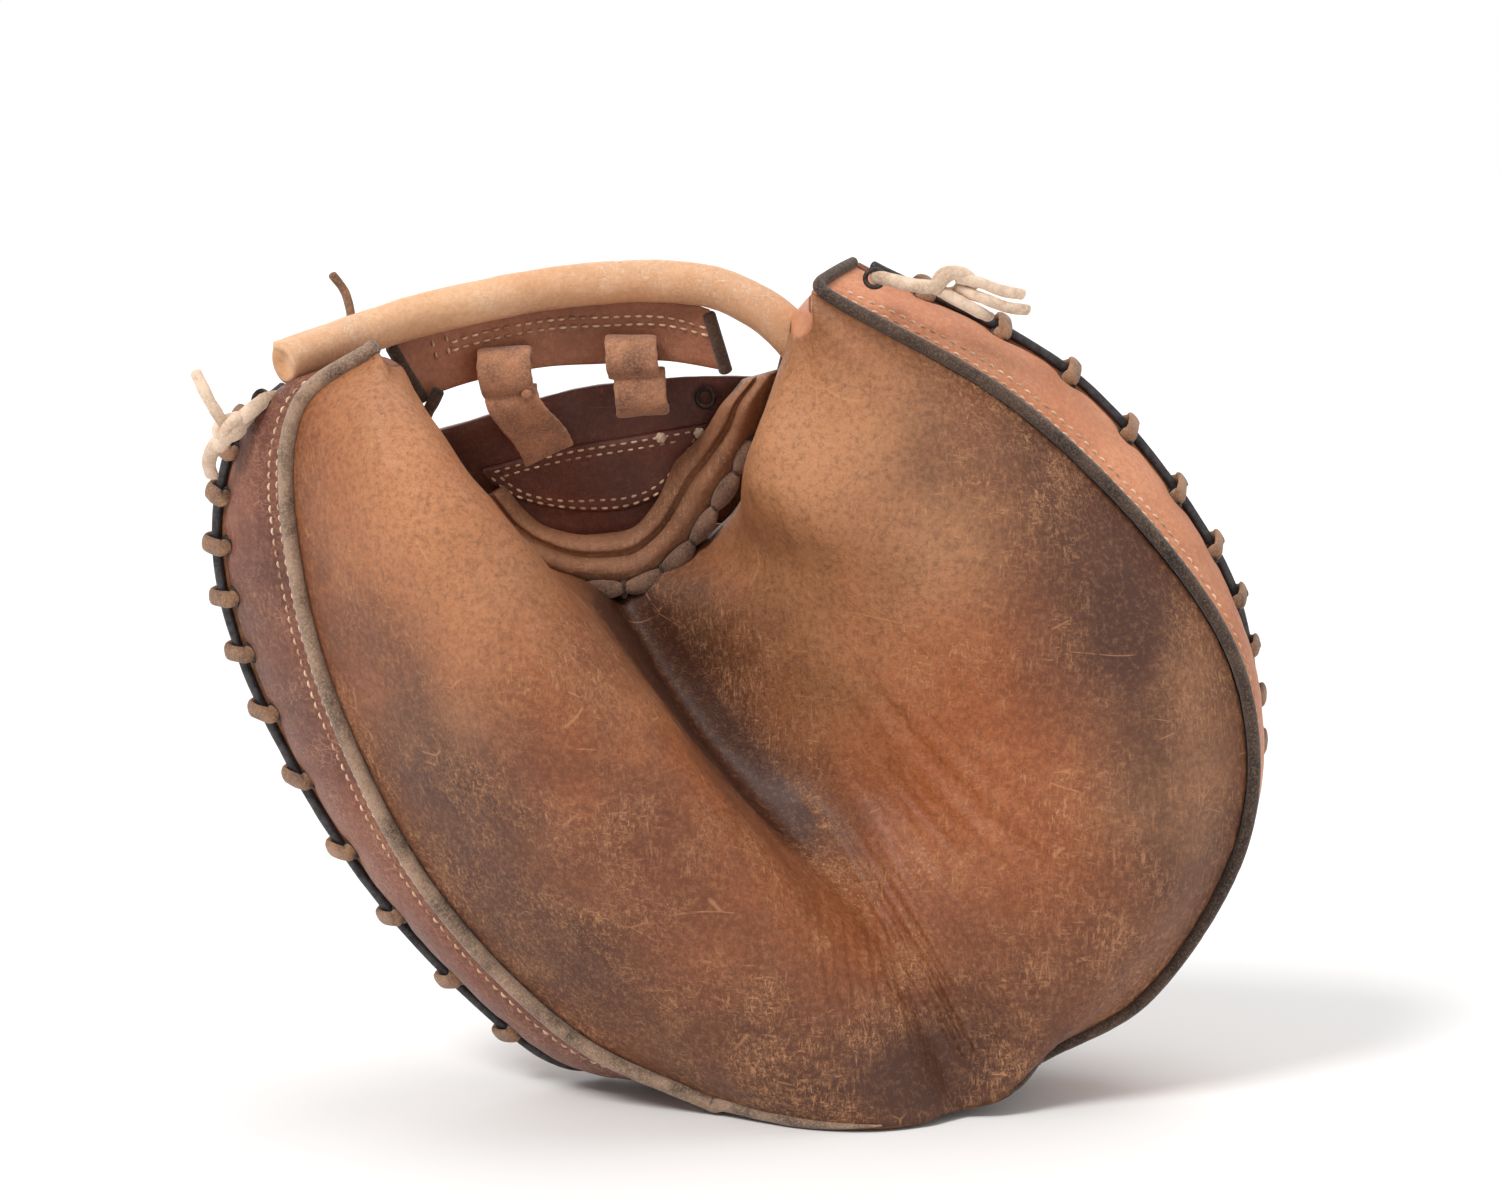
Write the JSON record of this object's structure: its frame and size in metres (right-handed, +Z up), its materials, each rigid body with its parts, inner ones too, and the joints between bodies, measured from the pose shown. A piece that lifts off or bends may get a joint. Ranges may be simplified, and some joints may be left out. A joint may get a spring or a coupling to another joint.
{
  "type": "baseball catcher's mitt",
  "caption": "Padded leather catcher's mitt for the left hand: thumb and finger lobes round a deep pocket, a laced web with a rolled bar, an open back and a wrist strap with a snap.",
  "frame": {"origin": "on the ground, inside the heel's flat resting face", "axes": "+X from the thumb lobe to the finger lobe, -Y out of the palm, +Z up from the heel to the web"},
  "size_m": [0.3235, 0.1359, 0.2494],
  "materials": {
    "palm_leather": "worn, patinated",
    "felt": "pressed felt",
    "heel_leather": "worn, creased",
    "lining": "soft, suede side out",
    "back_leather": "worn, satin",
    "wall_leather_dark": "cracked, satin",
    "wall_leather_tan": "satin",
    "piping_suede": "fuzzy, worn",
    "piping_dark": "worn",
    "rim_cord": "dark, waxed",
    "edge_lace": "rawhide, worn",
    "eyelet_metal": "dark, worn",
    "bar_leather": "tan, satin",
    "band_leather": "orange-brown, satin",
    "panel_leather": "dark red-brown, worn",
    "loop_leather": "matt, flesh side out",
    "binding_leather": "tan, folded",
    "crotch_lace": "rawhide, worn",
    "rawhide": "pale rawhide",
    "strap_leather": "satin",
    "fleece": "wool pile",
    "snap_brass": "worn"
  },
  "bodies": {
    "thumb_half": {"palm_leather_thumb": "palm_leather", "palm_crease_strip": "palm_leather", "thumb_pad": "felt", "heel_pad_thumb": "felt", "heel_roll": "heel_leather", "hand_lining_thumb": "lining", "back_shell_thumb": "back_leather", "side_wall_thumb": "wall_leather_dark", "tip_cap_thumb": "wall_leather_dark", "piping_thumb": "piping_suede", "rim_cord_thumb": "rim_cord", "edge_lacing_thumb": "edge_lace", "eyelets_thumb": "eyelet_metal", "web_bar": "bar_leather", "web_band": "band_leather", "web_panel": "panel_leather", "half_moon_patch": "panel_leather", "loop_strap_left": "loop_leather", "loop_strap_right": "loop_leather", "crotch_binding": "binding_leather", "crotch_lacing": "crotch_lace", "thumb_knot": "rawhide", "tip_lace_end": "edge_lace", "web_lace_end": "rim_cord", "thumb_stall": "lining", "strap_tab": "strap_leather", "snap_stud": "snap_brass"},
    "finger_half": {"palm_leather_finger": "palm_leather", "finger_pad": "felt", "heel_pad_finger": "felt", "hand_lining_finger": "lining", "back_shell_finger": "back_leather", "side_wall_finger": "wall_leather_tan", "tip_cap_finger": "wall_leather_tan", "piping_finger": "piping_dark", "rim_cord_finger": "rim_cord", "edge_lacing_finger": "edge_lace", "eyelets_finger": "eyelet_metal", "finger_knot": "rawhide", "finger_stall": "lining", "little_finger_loop": "strap_leather"},
    "strap": {"wrist_strap": "strap_leather", "wrist_fleece": "fleece", "snap_cap": "snap_brass"}
  },
  "joints": [
    {"name": "close_pocket", "type": "hinge", "parent": "thumb_half", "child": "finger_half", "pos_m": [-0.038, 0.082, 0.142], "axis": [0.6119, -0.132, -0.7799], "range_deg": [-3, 15], "deforming": ["palm_crease_strip", "web_bar", "web_band", "web_panel", "half_moon_patch", "loop_strap_left", "loop_strap_right", "crotch_binding", "crotch_lacing"]},
    {"name": "strap_open", "type": "hinge", "parent": "finger_half", "child": "strap", "pos_m": [0.10681, 0.06427, 0.04375], "axis": [-0.3589, -0.319, -0.8772], "range_deg": [0, 110]}
  ]
}
